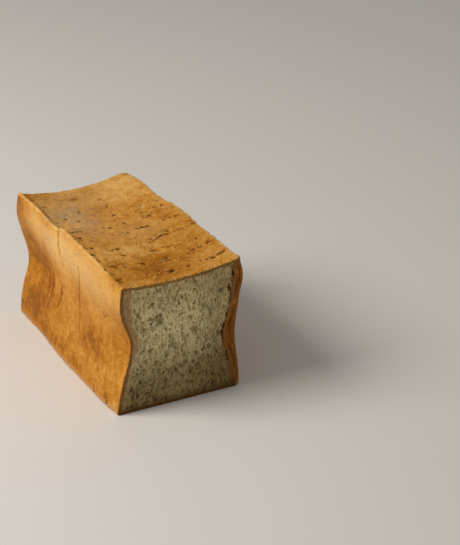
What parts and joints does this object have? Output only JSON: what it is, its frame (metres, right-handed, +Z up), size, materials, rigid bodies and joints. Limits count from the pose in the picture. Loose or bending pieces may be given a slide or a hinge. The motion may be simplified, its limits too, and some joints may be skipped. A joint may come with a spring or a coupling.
{
  "type": "tin loaf",
  "caption": "square-section sandwich loaf baked in a lidded tin, one end cut off flat to show the crumb, crust sunk between its corners",
  "frame": {"origin": "middle of the base, on the surface that the loaf rests on", "axes": "+Y along the loaf from the cut face to the far crust, +X to the right of someone facing the cut face, +Z up"},
  "size_m": [0.1254, 0.2202, 0.1309],
  "materials": {
    "crust": "dry, golden brown baked crust",
    "crumb": "soft, open, pale cream crumb"
  },
  "bodies": {
    "root": {"loaf": "crust"}
  },
  "joints": []
}
